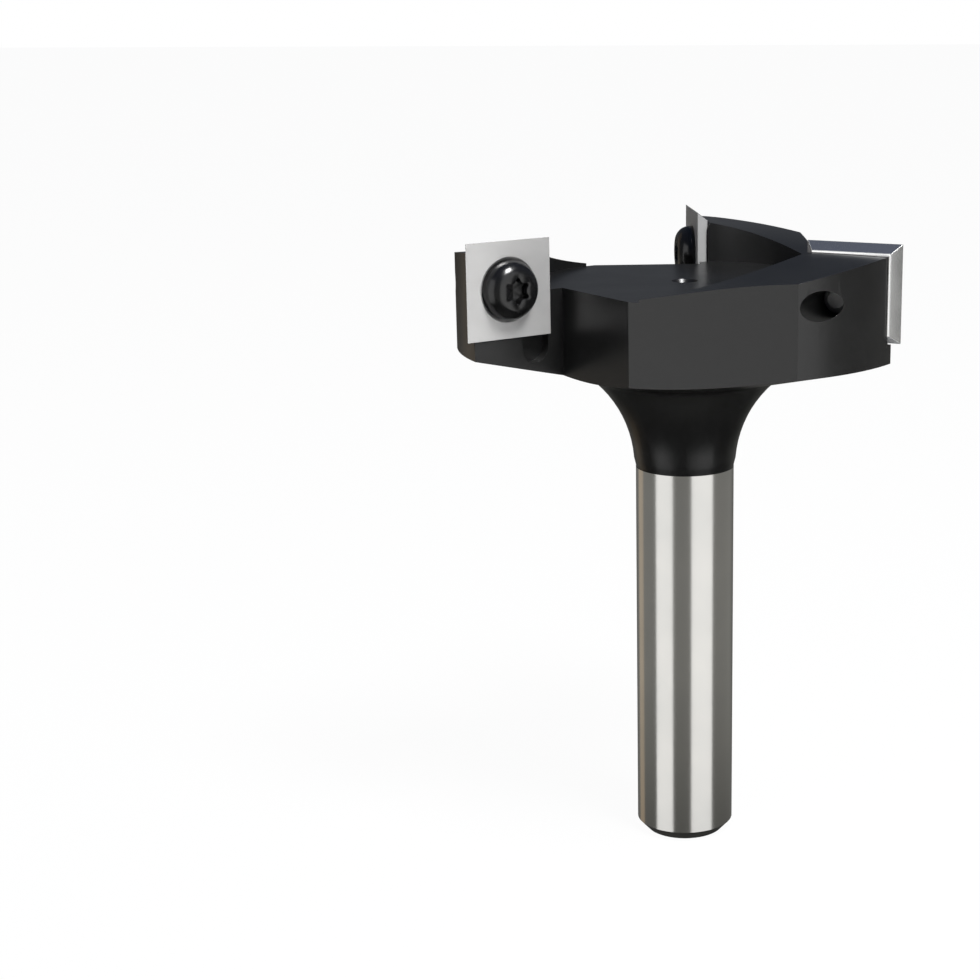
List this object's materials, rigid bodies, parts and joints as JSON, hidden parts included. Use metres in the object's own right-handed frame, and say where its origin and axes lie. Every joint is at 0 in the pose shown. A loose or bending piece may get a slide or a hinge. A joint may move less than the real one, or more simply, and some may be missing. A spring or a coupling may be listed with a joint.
{
  "type": "surfacing router bit",
  "caption": "Surfacing router bit: round shank, hollow neck and a flat winged head with square screwed-on inserts and chip gullets.",
  "frame": {"origin": "centre of the shank's flat foot, which the part stands on", "axes": "+Z along the tool's axis from the foot to the cutting end; insert_1 sits at +Y and the other two follow at 120 degree steps"},
  "size_m": [0.0526, 0.057, 0.0805],
  "materials": {
    "black_steel": "satin black finish on the head and neck; the shank is bare ground steel",
    "insert_grey": "ground, satin",
    "screw_black": "gloss black"
  },
  "bodies": {
    "root": {"cutter_body": "black_steel", "insert_1": "insert_grey", "insert_2": "insert_grey", "insert_3": "insert_grey", "insert_screw_1": "screw_black", "insert_screw_2": "screw_black", "insert_screw_3": "screw_black"}
  },
  "joints": []
}
